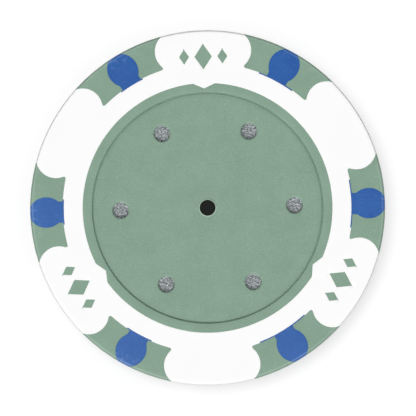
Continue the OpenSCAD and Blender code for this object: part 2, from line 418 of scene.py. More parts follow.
@dataclass(frozen=True)
class MouldedPlastic:
    """Injection-moulded styrene from a finely blasted mould: satin, a little cloudy, with a soft even grain.

    Use has strewn pale marks over it and rubbed its edges. The pale lines along the rubbed edges are also a
    painted highlight, and a darker band on the recess floor is a painted shade.
    Each share says how much of the worn and highlight colour or of the painted shade shows at most.
    """

    name: str
    sizes: ChipSizes
    colour: str
    mottle: str
    # Pale colour of wear, also used as a painted highlight along the rubbed edges
    worn: str
    roughness: float = 0.42
    roughness_span: tuple[float, float] = (-0.06, 0.08)
    ior: float = 1.55
    # Clouds in the colour. The mould's real grain of about 0.03 mm is too fine to show, so it is drawn as
    # coarse as a pixel of the render
    mottle_mm: float = 2.6
    grain_mm: float = 0.11
    grain_weight: float = 3.0
    grain_height: float = 0.02
    grain_bump: float = 0.12
    tone_span: float = 0.8
    # Strewn marks, which come up where their noise rises from one level to the other. A scratch has a width
    # and a length
    speck_mm: float = 0.15
    speck_levels: tuple[float, float] = (0.72, 0.8)
    speck_share: float = 0.0
    scuff_mm: float = 0.5
    scuff_levels: tuple[float, float] = (0.5, 0.75)
    scuff_share: float = 0.0
    scuff_inset: float = 1.6
    scuff_inner: float = 0.1
    scratch_mm: tuple[float, float] = (0.07, 3.0)
    scratch_levels: tuple[float, float] = (0.78, 0.84)
    scratch_share: float = 0.0
    scratch_turn: float = math.radians(33)
    # Rubbed edges, whose pale lines are also a painted highlight along the rounded edges of the rim and the
    # hole. Their shares are cut down by the clouds, to about a half
    rim_rub_inset: float = 0.3
    rim_rub_w: float = 0.11
    rim_rub_share: float = 0.0
    hole_rub_gap: float = 0.055
    hole_rub_w: float = 0.08
    hole_rub_share: float = 0.0
    # Pale tint, which grows across the chip towards one side
    dull_share: float = 0.0
    dull_turn: float = math.radians(240)
    # Painted shade: darker colour on the recess floor towards the foot of its wall, where the wall shades it
    grime: str = "#5C7263"
    grime_gap: float = 0.02
    grime_w: float = 0.8
    grime_share: float = 0.0

    @property
    def rim_rub_r(self) -> float:
        """Radius of the rubbed line at the rim, which is also a painted highlight."""
        return self.sizes.chip_r - self.rim_rub_inset

    def material(self) -> Material:
        """Makes the material: cloudy colour with fine grain, then the marks of use with their painted
        highlight, then a painted shade at the foot of the recess wall.

        Returns:
            The material.
        """
        made = bpy.data.materials.new(self.name)
        tree = empty_tree(made)
        place = add_node(tree, "ShaderNodeTexCoord").outputs["Object"]
        in_mm = add_node(tree, "ShaderNodeMapping", {
            "Vector": place, "Scale": (1 / MM,) * 3,
        }).outputs["Vector"]
        flat = add_node(tree, "ShaderNodeVectorMath", {
            0: in_mm, 1: (1, 1, 0),
        }, operation="MULTIPLY").outputs[0]
        radius = add_node(tree, "ShaderNodeVectorMath", {0: flat}, operation="LENGTH").outputs["Value"]
        cloud, grain = [
            add_node(tree, "ShaderNodeTexNoise", {
                "Vector": in_mm, "Scale": 1 / size, "Detail": detail, "Roughness": rough,
            }).outputs["Fac"]
            for size, detail, rough in ((self.mottle_mm, 3.0, 0.6), (self.grain_mm, 2.0, 0.7))
        ]
        tone = add_node(tree, "ShaderNodeMath", {
            0: grain, 1: self.grain_weight, 2: cloud,
        }, operation="MULTIPLY_ADD").outputs[0]
        middle = (1 + self.grain_weight) / 2
        smoother, rougher = self.roughness_span
        shade, gloss = [
            add_node(tree, "ShaderNodeMapRange", {
                "Value": tone, "From Min": middle - self.tone_span, "From Max": middle + self.tone_span,
                "To Min": low, "To Max": high,
            }).outputs["Result"]
            for low, high in ((0.0, 1.0), (self.roughness + smoother, self.roughness + rougher))
        ]
        colour = linear(self.mottle)
        # Worn colour, also a painted highlight along the rubbed edges, then the painted shade at the foot of
        # the recess wall
        for share, tint in (
            (shade, self.colour),
            (self.marks(tree, in_mm, radius, cloud), self.worn),
            (self.soil(tree, radius), self.grime),
        ):
            colour = add_node(tree, "ShaderNodeMix", {
                0: share, 6: colour, 7: linear(tint),
            }, data_type="RGBA").outputs[2]
        bump = add_node(tree, "ShaderNodeBump", {
            "Strength": self.grain_bump, "Distance": self.grain_height * MM, "Height": grain,
        })
        shader = add_node(tree, "ShaderNodeBsdfPrincipled", {
            "Base Color": colour, "Roughness": gloss, "IOR": self.ior, "Normal": bump.outputs["Normal"],
        })
        add_node(tree, "ShaderNodeOutputMaterial", {"Surface": shader.outputs[0]})
        return made

    def soil(self, tree: Tree, radius: Socket) -> Socket:
        """Adds a painted shade on the recess floor, which darkens towards the foot of its wall.

        Args:
            tree: Tree of the material.
            radius: Distance from the chip's axis, in millimetres.

        Returns:
            Share of the painted shade's colour.
        """
        end = self.sizes.recess_r - self.grime_gap
        rising = add_node(tree, "ShaderNodeMapRange", {
            "Value": radius, "From Min": end - self.grime_w, "From Max": end,
            "To Min": 0.0, "To Max": self.grime_share,
        }, interpolation_type="SMOOTHSTEP").outputs["Result"]
        inside = add_node(tree, "ShaderNodeMath", {0: radius, 1: end}, operation="LESS_THAN").outputs[0]
        return add_node(tree, "ShaderNodeMath", {0: rising, 1: inside}, operation="MULTIPLY").outputs[0]

    def marks(self, tree: Tree, in_mm: Socket, radius: Socket, cloud: Socket) -> Socket:
        """Joins the marks: the strongest of the strewn marks and of the rubbed edges with their painted
        highlight, and the pale tint that grows towards one side.

        Args:
            tree: Tree of the material.
            in_mm: Place on the object, in millimetres.
            radius: Distance from the chip's axis, in millimetres.
            cloud: Coarse noise that makes the rubbed edges uneven.

        Returns:
            Share of the worn and highlight colour.
        """
        towards = add_node(tree, "ShaderNodeVectorMath", {
            0: in_mm, 1: (math.cos(self.dull_turn), math.sin(self.dull_turn), 0),
        }, operation="DOT_PRODUCT").outputs["Value"]
        dull = add_node(tree, "ShaderNodeMapRange", {
            "Value": towards, "From Min": -self.rim_rub_r, "From Max": self.rim_rub_r,
            "To Min": 0.0, "To Max": self.dull_share,
        }).outputs["Result"]
        most, *others = [*self.strewn(tree, in_mm, radius), *self.rubbed(tree, radius, cloud)]
        for share in others:
            most = add_node(tree, "ShaderNodeMath", {0: most, 1: share}, operation="MAXIMUM").outputs[0]
        return add_node(tree, "ShaderNodeMath", {0: most, 1: dull}, operation="ADD").outputs[0]

    def strewn(self, tree: Tree, in_mm: Socket, radius: Socket) -> list[Socket]:
        """Adds the strewn marks: fine specks, thin scratches and scuffs that gather towards the rim.

        Args:
            tree: Tree of the material.
            in_mm: Place on the object, in millimetres.
            radius: Distance from the chip's axis, in millimetres.

        Returns:
            Share of the worn colour in each kind of mark.
        """
        across, along = self.scratch_mm
        streaks = add_node(tree, "ShaderNodeMapping", {
            "Vector": in_mm, "Rotation": (0, 0, self.scratch_turn),
            "Scale": (1 / along, 1 / across, 1 / along),
        }).outputs["Vector"]
        shares = []
        for vector, size, detail, (low, high), most in (
            (in_mm, self.speck_mm, 0.0, self.speck_levels, self.speck_share),
            (streaks, 1.0, 0.0, self.scratch_levels, self.scratch_share),
            (in_mm, self.scuff_mm, 4.0, self.scuff_levels, self.scuff_share),
        ):
            noise = add_node(tree, "ShaderNodeTexNoise", {
                "Vector": vector, "Scale": 1 / size, "Detail": detail, "Roughness": 0.65,
            }).outputs["Fac"]
            shares.append(add_node(tree, "ShaderNodeMapRange", {
                "Value": noise, "From Min": low, "From Max": high, "To Min": 0.0, "To Max": most,
            }, interpolation_type="SMOOTHSTEP").outputs["Result"])
        outwards = add_node(tree, "ShaderNodeMapRange", {
            "Value": radius, "From Min": self.sizes.chip_r - self.scuff_inset, "From Max": self.rim_rub_r,
            "To Min": self.scuff_inner, "To Max": 1.0,
        }, interpolation_type="SMOOTHSTEP").outputs["Result"]
        scuffs = add_node(tree, "ShaderNodeMath", {
            0: shares.pop(), 1: outwards,
        }, operation="MULTIPLY").outputs[0]
        return [*shares, scuffs]

    def rubbed(self, tree: Tree, radius: Socket, cloud: Socket) -> list[Socket]:
        """Adds the pale lines along the edges of the rim and of the middle hole: wear where they are rubbed,
        and a painted highlight where the rounded edges catch the light.

        Args:
            tree: Tree of the material.
            radius: Distance from the chip's axis, in millimetres.
            cloud: Coarse noise that makes the lines uneven.

        Returns:
            Share of the worn and highlight colour in each line.
        """
        shares = []
        for edge_r, width, most in (
            (self.rim_rub_r, self.rim_rub_w, self.rim_rub_share),
            (self.sizes.hole_r + self.hole_rub_gap, self.hole_rub_w, self.hole_rub_share),
        ):
            past = add_node(tree, "ShaderNodeMath", {0: radius, 1: edge_r}, operation="SUBTRACT").outputs[0]
            off = add_node(tree, "ShaderNodeMath", {0: past}, operation="ABSOLUTE").outputs[0]
            line = add_node(tree, "ShaderNodeMapRange", {
                "Value": off, "From Min": 0.0, "From Max": width, "To Min": most, "To Max": 0.0,
            }, interpolation_type="SMOOTHSTEP").outputs["Result"]
            shares.append(add_node(tree, "ShaderNodeMath", {
                0: line, 1: cloud,
            }, operation="MULTIPLY").outputs[0])
        return shares


@dataclass(frozen=True)
class RolledSteel:
    """Mild steel with a coarse pickled skin: dull grey metal, mottled with bright and dark grains."""

    name: str = "mild_steel_pickled"
    bright: str = "#B4BABC"
    dark: str = "#42474C"
    metallic: float = 0.6
    roughness: float = 0.5
    # The real pits of about 0.05 mm are too fine to show, so the grains are drawn just larger than a pixel
    grain_mm: tuple[float, float] = (0.2, 0.13)
    grain_turn: float = math.radians(40)
    grain_levels: tuple[float, float] = (0.35, 0.65)
    grain_height: float = 0.03
    grain_bump: float = 0.5

    def material(self) -> Material:
        """Makes the material: two tones of grey in long grains, with rough reflections.

        Returns:
            The material.
        """
        made = bpy.data.materials.new(self.name)
        tree = empty_tree(made)
        place = add_node(tree, "ShaderNodeTexCoord").outputs["Object"]
        along, across = self.grain_mm
        grains = add_node(tree, "ShaderNodeMapping", {
            "Vector": place, "Rotation": (0, 0, self.grain_turn),
            "Scale": (1 / along / MM, 1 / across / MM, 1 / across / MM),
        }).outputs["Vector"]
        grain = add_node(tree, "ShaderNodeTexNoise", {
            "Vector": grains, "Scale": 1.0, "Detail": 3.0, "Roughness": 0.6,
        }).outputs["Fac"]
        low, high = self.grain_levels
        share = add_node(tree, "ShaderNodeMapRange", {
            "Value": grain, "From Min": low, "From Max": high, "To Min": 0.0, "To Max": 1.0,
        }).outputs["Result"]
        tone = add_node(tree, "ShaderNodeMix", {
            0: share, 6: linear(self.dark), 7: linear(self.bright),
        }, data_type="RGBA").outputs[2]
        bump = add_node(tree, "ShaderNodeBump", {
            "Strength": self.grain_bump, "Distance": self.grain_height * MM, "Height": grain,
        })
        shader = add_node(tree, "ShaderNodeBsdfPrincipled", {
            "Base Color": tone, "Metallic": self.metallic, "Roughness": self.roughness,
            "Normal": bump.outputs["Normal"],
        })
        add_node(tree, "ShaderNodeOutputMaterial", {"Surface": shader.outputs[0]})
        return made


@dataclass(frozen=True)
class FaceLines:
    """Outlines of the regions on a face, each as an angle at a radius or a radius at an angle."""

    sizes: ChipSizes
    # Half width of a diamond's blunt ends, and rounds in which the place of its side settles
    blunt: float = 0.05
    settling_rounds: int = 6

    def spot_side(self, r: Array) -> Array:
        """Angle from a spot's axis to its side: the wider of its straight neck and its side arc.

        Args:
            r: Radii, taken as no smaller than the outer edge of the ring.

        Returns:
            Angles at those radii.
        """
        s = self.sizes
        r = np.maximum(r, s.ring_outer)
        pitch_r = s.chip_r - s.spot_arc_inset
        shift = s.spot_arc_r - s.spot_w / 2
        arc = angle_between(r, math.hypot(pitch_r, shift), s.spot_arc_r) - math.atan2(shift, pitch_r)
        neck = np.where(r < pitch_r, np.arcsin(s.neck_w / 2 / r), 0)
        return np.maximum(arc, neck)

    def lobe_side(self, r: Array) -> Array:
        """Angle from a lobe's axis to its side: a corner fillet that touches the ring, then the side arc.

        Args:
            r: Radii, taken as no smaller than the outer edge of the ring.

        Returns:
            Angles at those radii.
        """
        s = self.sizes
        r = np.maximum(r, s.ring_outer)
        pitch_r = s.chip_r - s.lobe_arc_inset
        corner_r = s.ring_outer + s.corner_round
        reach = s.lobe_arc_r + s.corner_round
        corner_turn = s.lobe_spread + angle_between(pitch_r, corner_r, reach)
        arc_centre = pitch_r * np.array([math.sin(s.lobe_spread), math.cos(s.lobe_spread)])
        corner_centre = corner_r * np.array([math.sin(corner_turn), math.cos(corner_turn)])
        touch_r = np.linalg.norm(arc_centre + (corner_centre - arc_centre) * s.lobe_arc_r / reach)
        fillet = corner_turn - angle_between(r, corner_r, s.corner_round)
        return np.where(r < touch_r, fillet, s.lobe_spread + angle_between(r, pitch_r, s.lobe_arc_r))

    def mark_side(self, r: Array, centre_x: float, length: float, width: float) -> Array:
        """Angle from a lobe's axis to a side of a diamond: its half width shrinks evenly to blunt ends.

        Args:
            r: Radii.
            centre_x: Distance of the diamond's centre from the lobe's axis.
            length: Length of the diamond along the lobe's axis.
            width: Width of the diamond, negative for the side that is nearer to the lobe's axis.

        Returns:
            Angles at those radii.
        """
        x = np.full_like(r, centre_x)
        for _ in range(self.settling_rounds):
            y = np.sqrt(r * r - x * x)
            share = 1 - np.abs(y - self.sizes.mark_pitch_r) * 2 / length
            x = centre_x + np.sign(width) * np.maximum(abs(width) / 2 * share, self.blunt)
        return np.arcsin(x / r)

    def mark_rows(self, r: Array, centre_x: float, length: float) -> Array:
        """Finds the radii between the two ends of a diamond.

        Args:
            r: Radii.
            centre_x: Distance of the diamond's centre from the lobe's axis.
            length: Length of the diamond along the lobe's axis.

        Returns:
            True for the radii between the ends.
        """
        ends = self.sizes.mark_pitch_r + np.array([-0.5, 0.5]) * length
        low, high = np.hypot(ends, centre_x)
        return (r > low) & (r < high)

    def tooth_reach(self, turn: Array) -> Array:
        """How far a tooth reaches inwards from the ring's inner edge.

        The edge is a small circle at the tip, a straight flank, a fillet that touches the flank and the
        ring, and then the ring's own circle. Each is met by a ray from the middle of the chip.

        Args:
            turn: Angles from the axis of a marked lobe.

        Returns:
            Reach at those angles.
        """
        s = self.sizes
        turn = np.abs(turn)
        root = np.array([s.tooth_w / 2, math.sqrt(s.ring_inner**2 - (s.tooth_w / 2) ** 2)])
        tip = np.array([0, s.ring_inner - s.tooth_depth])
        flank = (root - tip) / np.linalg.norm(root - tip)
        start = tip + s.tooth_root_round * np.array([flank[1], -flank[0]])
        fillet_r = s.ring_inner - s.tooth_root_round
        along = math.sqrt((start @ flank) ** 2 - start @ start + fillet_r**2) - start @ flank
        centre = start + along * flank
        touch = tip + along * flank
        half_point = math.atan2(flank[0], flank[1])
        tip_y = tip[1] + s.tooth_tip_round / math.sin(half_point)
        tip_end = math.atan2(s.tooth_tip_round * math.cos(half_point), tip_y)
        toward = centre[0] * np.sin(turn) + centre[1] * np.cos(turn)
        inside = np.maximum(toward**2 - centre @ centre + s.tooth_root_round**2, 0)
        dip = np.maximum(s.tooth_tip_round**2 - (tip_y * np.sin(turn)) ** 2, 0)
        straight = tip[1] / (np.cos(turn) - np.sin(turn) * flank[1] / flank[0])
        edge = np.select(
            [turn < tip_end, turn < math.atan2(*touch), turn < math.atan2(*centre)],
            [tip_y * np.cos(turn) - np.sqrt(dip), straight, toward + np.sqrt(inside)],
            s.ring_inner,
        )
        return s.ring_inner - edge


class Row(NamedTuple):
    """One row of the grid, with the upper face's height and tilt there and its share of a tooth's reach."""

    r: float
    z: float
    tilt: float = 0.0
    tooth_share: float = 0.0


@dataclass
class FaceGrid:
    """Warped polar grid of the chip: rows go outwards, columns go round and levels go up.

    Bricks lie between them, in layers. A level has the number of the layer that lies on it.
    """

    sizes: ChipSizes
    # Half width of the field round a pin hole, which the hole's own patch fills
    pin_field: float = 1.65
    # Rows across each stretch of the face, from the middle outwards
    round_rows: int = 6
    slope_rows: int = 5
    groove_rows: int = 8
    foot_rows: int = 6
    border_rows: int = 15
    wall_rows: int = 4
    rim_rows: int = 7
    # Rows across a lobe's corner fillet, as angles round it
    corner_degrees: tuple[float, ...] = (20, 40, 60, 80)
    # Angle round the groove's section where the recess wall cuts it off
    groove_end: float = math.radians(52)
    # Rows that lean towards a tooth: share of the land or of half the ring, and share of the tooth's reach
    land_lean: tuple[float, float] = (0.42, 0.55)
    ring_leans: tuple[tuple[float, float], ...] = ((0.25, 0.7), (0.6, 0.35))
    # Columns in each kind of column, apart from those beside a seam
    columns: tuple[int, ...] = (4, 3, 3, 4, 3, 4, 4)
    # Inside the ring the lines along the marks fan out to these angles from the lobe's axis, between these
    # distances from the ring's outer edge
    fan_degrees: tuple[float, ...] = (9.0, 5.6, 2.8)
    fan_insets: tuple[float, float] = (1.6, 0.8)

    def __post_init__(self) -> None:
        """Works out the points of the grid and what fills each of its bricks."""
        s = self.sizes
        self.lines = FaceLines(s)
        self.r, self.face_z, self.tilt, self.tooth_share = np.array(self.make_rows()).T
        edge_radii = {
            Edge.SLEEVE: s.sleeve_r,
            Edge.PIN_START: s.pin_pitch_r - self.pin_field,
            Edge.PIN_END: s.pin_pitch_r + self.pin_field,
            Edge.SLUG_EDGE: s.slug_r,
            Edge.RING_INNER: s.ring_inner,
            Edge.FOOT_INNER: s.foot_inner,
            Edge.STRIP_INNER: s.strip_inner,
            Edge.RING_OUTER: s.ring_outer,
            Edge.RIM_WALL: s.wall_inner,
        }
        self.row_at = {edge: int(np.abs(self.r - r).argmin()) for edge, r in edge_radii.items()}
        self.angle, self.kind, self.spot, self.lobe = self.make_columns()
        self.marked = self.lobe % 2 == 1
        self.fill = self.fill_bricks()
        self.points = self.place_points()

    def make_rows(self) -> list[Row]:
        """Lists the rows from the middle hole to the rim, close together where the face curves.

        The lips and the edge of the rim are arcs of a circle, the floor falls by a square law towards the
        groove, and the groove's depth goes with the square of a cosine.

        Returns:
            The rows in order.
        """
        s = self.sizes
        floor, top = s.floor_z, s.chip_t
        quarter = np.linspace(0, QUARTER_TURN, self.round_rows)
        groove_half = s.groove_w / 2
        groove_mid = s.recess_r - groove_half
        groove_top = floor - s.slope_depth
        groove_fall = s.groove_depth - s.slope_depth
        slope_start = s.recess_r - s.slope_w
        slope_end = groove_mid - groove_half
        lip_r = min(s.lip_round, s.recess_depth)
        ring_mid = (s.ring_inner + s.ring_outer) / 2
        land_place, land_share = self.land_lean
        leaning = [
            (-land_place * s.land_w, land_share),
            *[(offset, 1.0) for offset in (-s.seam_w, 0.0, s.seam_w)],
            *[(place * (ring_mid - s.ring_inner), share) for place, share in self.ring_leans],
        ]
        level = [
            ring_mid,
            *np.linspace(s.foot_inner, s.strip_inner - s.seam_w, self.foot_rows),
            s.strip_inner,
            s.strip_inner + s.seam_w,
            s.ring_outer - s.seam_w,
            s.ring_outer,
            *(s.ring_outer + s.corner_round * (1 - np.cos(np.radians(self.corner_degrees)))),
            *np.linspace(s.ring_outer + s.corner_round, s.marks_end, self.border_rows),
            *np.linspace(s.marks_end, s.wall_inner, self.wall_rows)[1:],
            (s.wall_inner + s.rim_start) / 2,
        ]
        return [
            *[Row(s.hole_r + s.hole_lip * math.sin(t), floor + s.hole_lip * math.cos(t)) for t in quarter],
            *[Row(r, floor) for r in (s.sleeve_r, s.sleeve_r * 2, s.pin_pitch_r / 2)],
            *[Row(s.pin_pitch_r + self.pin_field * share, floor) for share in (-1, -0.5, 0, 0.5, 1)],
            *[
                Row(r, floor - s.slope_depth * ((r - slope_start) / (slope_end - slope_start)) ** 2)
                for r in np.linspace(slope_start, s.slug_r, self.slope_rows)
            ],
            *[
                Row(groove_mid + groove_half * math.sin(t), groove_top - groove_fall * math.cos(t) ** 2)
                for t in np.linspace(-QUARTER_TURN, self.groove_end, self.groove_rows)
            ],
            *[Row(s.recess_r + lip_r * (1 - math.cos(t)), top - lip_r * (1 - math.sin(t))) for t in quarter],
            *[Row(s.ring_inner + offset, top, tooth_share=share) for offset, share in leaning],
            *[Row(r, top) for r in level],
            *[
                Row(s.rim_start + s.rim_round * math.sin(t), top - s.rim_round * (1 - math.cos(t)), t)
                for t in np.linspace(0, QUARTER_TURN - s.lean, self.rim_rows)
            ],
        ]

    def half_sector(self, foot_end: float) -> tuple[Array, Array]:
        """Lays out the columns from a spot's axis to the next lobe's axis.

        Each outline gets a line beside it on both sides for its seam. Inside the ring the lines that follow
        the marks fan out evenly, for the tooth.

        Args:
            foot_end: Angle from the spot's axis to the end of its foot.

        Returns:
            Angles from the spot's axis, one column a line, and the kind of each column between them.
        """
        s, r = self.sizes, self.r
        half_turn = s.turn / 2
        spot = self.lines.spot_side(r)
        lobe = half_turn - self.lines.lobe_side(r)
        foot_share = (foot_end - spot[0]) / (lobe[0] - spot[0])
        foot = np.where(r > s.ring_outer, spot + foot_share * (lobe - spot), foot_end)
        fan_start, fan_end = self.fan_insets
        fan = 1 - smooth_step(s.ring_outer - fan_start, s.ring_outer - fan_end, r)
        sides = [
            (s.side_mark_x, s.side_mark_l, s.side_mark_w),
            (s.side_mark_x, s.side_mark_l, -s.side_mark_w),
            (0.0, s.mark_l, s.mark_w),
        ]
        marks = [
            half_turn - (1 - fan) * self.lines.mark_side(r.clip(s.ring_inner), *side) - fan * even
            for side, even in zip(sides, np.radians(self.fan_degrees))
        ]
        ends = [np.zeros_like(r), spot, foot, lobe, *marks, np.full_like(r, half_turn)]
        beside = s.seam_w / np.maximum(r, s.recess_r)
        lines, kinds = [], []
        for kind, start, end, count in zip(Column, ends[:-1], ends[1:], self.columns):
            first = start if kind == Column.SPOT else start + beside
            last = end if kind == Column.MIDDLE_MARK else end - beside
            lines += [*(first + np.linspace(0, 1, count + 1)[:, None] * (last - first))]
            if kind != Column.MIDDLE_MARK:
                lines.append(end)
            kinds += [kind] * (len(lines) - 1 - len(kinds))
        return np.stack(lines, axis=1), np.array(kinds)

    def make_columns(self) -> tuple[Array, Array, Array, Array]:
        """Joins the half sectors of all repeats, each with the mirrored one on the other side of its lobe.

        Returns:
            Angle of every point by row and column, and the kind, the spot and the lobe of every column.
        """
        s = self.sizes
        halves = [self.half_sector(foot) for foot in np.radians(s.foot_degrees)]
        angles, kinds, spots, lobes = [], [], [], []
        for k in range(s.repeats):
            after = (k + 1) % s.repeats
            ahead, kind = halves[k]
            back, _ = halves[after]
            angles += [k * s.turn + ahead[:, :-1], (k + 1) * s.turn - back[:, :0:-1]]
            kinds += [kind, kind[::-1]]
            spots += [k] * len(kind) + [after] * len(kind)
            lobes += [k] * (2 * len(kind))
        return np.concatenate(angles, axis=1), np.concatenate(kinds), np.array(spots), np.array(lobes)

    def fill_bricks(self) -> Array:
        """Says what fills each brick, by its row, its column and its layer.

        Returns:
            A Shot number for each brick.
        """
        s, at, kind = self.sizes, self.row_at, self.kind
        shape = (len(self.r) - 1, len(kind))
        rows = np.arange(shape[0])[:, None]
        middle = (self.r[:-1] + self.r[1:])[:, None] / 2
        mark = self.marked & (
            ((kind == Column.MIDDLE_MARK) & self.lines.mark_rows(middle, 0.0, s.mark_l))
            | ((kind == Column.SIDE_MARK) & self.lines.mark_rows(middle, s.side_mark_x, s.side_mark_l))
        )
        ring = (rows >= at[Edge.RING_INNER]) & (rows < at[Edge.RING_OUTER])
        lobe = (rows >= at[Edge.RING_OUTER]) & (kind >= Column.LOBE)
        wrap = lobe & (rows >= at[Edge.RIM_WALL])
        post = (rows >= at[Edge.STRIP_INNER]) & (kind == Column.SPOT)
        foot = ring & (kind <= Column.FOOT)
        strip = foot & (rows >= at[Edge.STRIP_INNER])
        tongue = foot & (rows >= at[Edge.FOOT_INNER])
        slug = np.broadcast_to((rows >= at[Edge.SLEEVE]) & (rows < at[Edge.SLUG_EDGE]), shape)
        layers = []
        for layer in Layer:
            fill = np.full(shape, Shot.BODY)
            if Layer.LOW_CORE <= layer <= Layer.HIGH_CORE:
                fill[slug] = Shot.SLUG
                fill[wrap] = Shot.WHITE
                blue = post
            else:
                fill[(ring | lobe) & ~mark] = Shot.WHITE
                blue = post | (strip if layer in (Layer.LOW_SKIN, Layer.HIGH_SKIN) else tongue)
            layers.append(np.where(blue, Shot.FIRST_SPOT + self.spot, fill))
        return np.stack(layers, axis=2)

    def place_points(self) -> Array:
        """Places the grid's points, with the points on a seam sunk a little along the face's normal.

        The lower half mirrors the upper one. The rim leans out evenly from both faces to the parting line,
        which stands out as a fine ridge.

        Returns:
            Points by row, column, level and coordinate.
        """
        s = self.sizes
        axis = (self.lobe + 0.5) * s.turn
        reach = self.marked * self.lines.tooth_reach(self.angle - axis)
        radius = self.r[:, None] - self.tooth_share[:, None] * reach
        core = np.where(self.r <= s.slug_r, s.slug_top, s.chip_t - s.shot_depth)
        high = np.stack([core, np.full_like(core, s.chip_t - s.foot_cover), self.face_z], axis=1)
        parting = np.tile(s.middle_z + s.parting_w * np.array([-1, 0, 1]), (len(core), 1))
        z = np.concatenate([s.chip_t - high[:, ::-1], parting, high], axis=1)[:, None, :]
        r = np.repeat(radius[:, :, None], z.shape[2], axis=2)
        r[-1] = s.chip_r - np.abs(z[-1] - s.middle_z) * math.tan(s.lean)
        r[-1][:, [Layer.LOW_PARTING, Layer.HIGH_CORE]] -= s.parting_h
        outward = np.zeros_like(z)
        outward[-1] = 1
        outward[:, :, [0, -1]] = np.sin(self.tilt)[:, None, None]
        upward = np.zeros_like(z)
        upward[:, :, [0, -1]] = np.cos(self.tilt)[:, None, None] * [-1, 1]
        sunk = s.seam_depth * self.seams()
        r = r - sunk * outward
        z = z - sunk * upward
        angle = self.angle[:, :, None]
        return np.stack([r * np.cos(angle), r * np.sin(angle), z], axis=3)

    def seams(self) -> Array:
        """Finds the points of the skin where bricks of different pieces meet.

        Returns:
            True for those points, by row, column and level.
        """
        shown = np.pad(self.fill, ((1, 1), (0, 0), (1, 1)), mode="edge")
        bricks = [
            grid[i : i + len(self.r), :, k : k + len(Layer) + 1]
            for grid in (shown, np.roll(shown, 1, axis=1))
            for i in (0, 1)
            for k in (0, 1)
        ]
        meet = np.ptp(bricks, axis=0) > 0
        skin = np.zeros_like(meet)
        skin[:, :, [0, -1]] = True
        skin[-1] = True
        return meet & skin

    def numbers(self) -> Array:
        """Numbers the points.

        Returns:
            Number by row, column and level, with the first column repeated at the end.
        """
        count = self.points.shape[:3]
        number = np.arange(np.prod(count)).reshape(count)
        return np.concatenate([number, number[:, :1]], axis=1)

    def skin_of(self, shot: int) -> Array:
        """Finds the faces between the bricks of one piece and all that isn't that piece.

        Each of the six sides of a brick is kept where the next brick is something else. The fields round the
        pin holes are left open in the body, for the holes' own patches.

        Args:
            shot: Number of the piece in the bricks.

        Returns:
            Quads of point numbers, anticlockwise seen from outside.
        """
        number = self.numbers()
        mine = self.fill == shot
        padded = np.pad(mine, ((1, 1), (0, 0), (1, 1)))
        level_axis = 2
        pin_rows = slice(self.row_at[Edge.PIN_START], self.row_at[Edge.PIN_END])
        in_field = (self.kind < Column.LOBE)[:, None]
        quads = []
        for axis in range(level_axis + 1):
            for side, walk, shift in ((1, FAR_WALK, -1), (0, NEAR_WALK, 1)):
                is_open = mine & ~np.roll(padded, shift, axis)[1:-1, :, 1:-1]
                if shot == Shot.BODY and axis == level_axis:
                    is_open[pin_rows] &= ~in_field
                i, j, k = np.nonzero(is_open)
                corners = [np.roll((side, *step), axis) for step in walk]
                quads.append(np.stack([number[i + a, j + b, k + c] for a, b, c in corners], axis=1))
        return np.concatenate(quads)

    def pin_loop(self, spot: int) -> tuple[Array, Array]:
        """Walks once round the field of a pin hole, anticlockwise seen from above.

        Args:
            spot: Number of the spot on whose axis the hole lies.

        Returns:
            Row and column of each step.
        """
        first, last = self.row_at[Edge.PIN_START], self.row_at[Edge.PIN_END]
        repeats = self.sizes.repeats
        centre = spot * len(self.kind) // repeats
        half = np.count_nonzero(self.kind < Column.LOBE) // repeats // 2
        outwards = np.arange(first, last)
        ahead = np.arange(centre - half, centre + half)
        rows = [outwards, np.full(len(ahead), last), outwards[::-1] + 1, np.full(len(ahead), first)]
        columns = [
            np.full(len(outwards), centre - half),
            ahead,
            np.full(len(outwards), centre + half),
            ahead[::-1] + 1,
        ]
        return np.concatenate(rows), np.concatenate(columns) % len(self.kind)


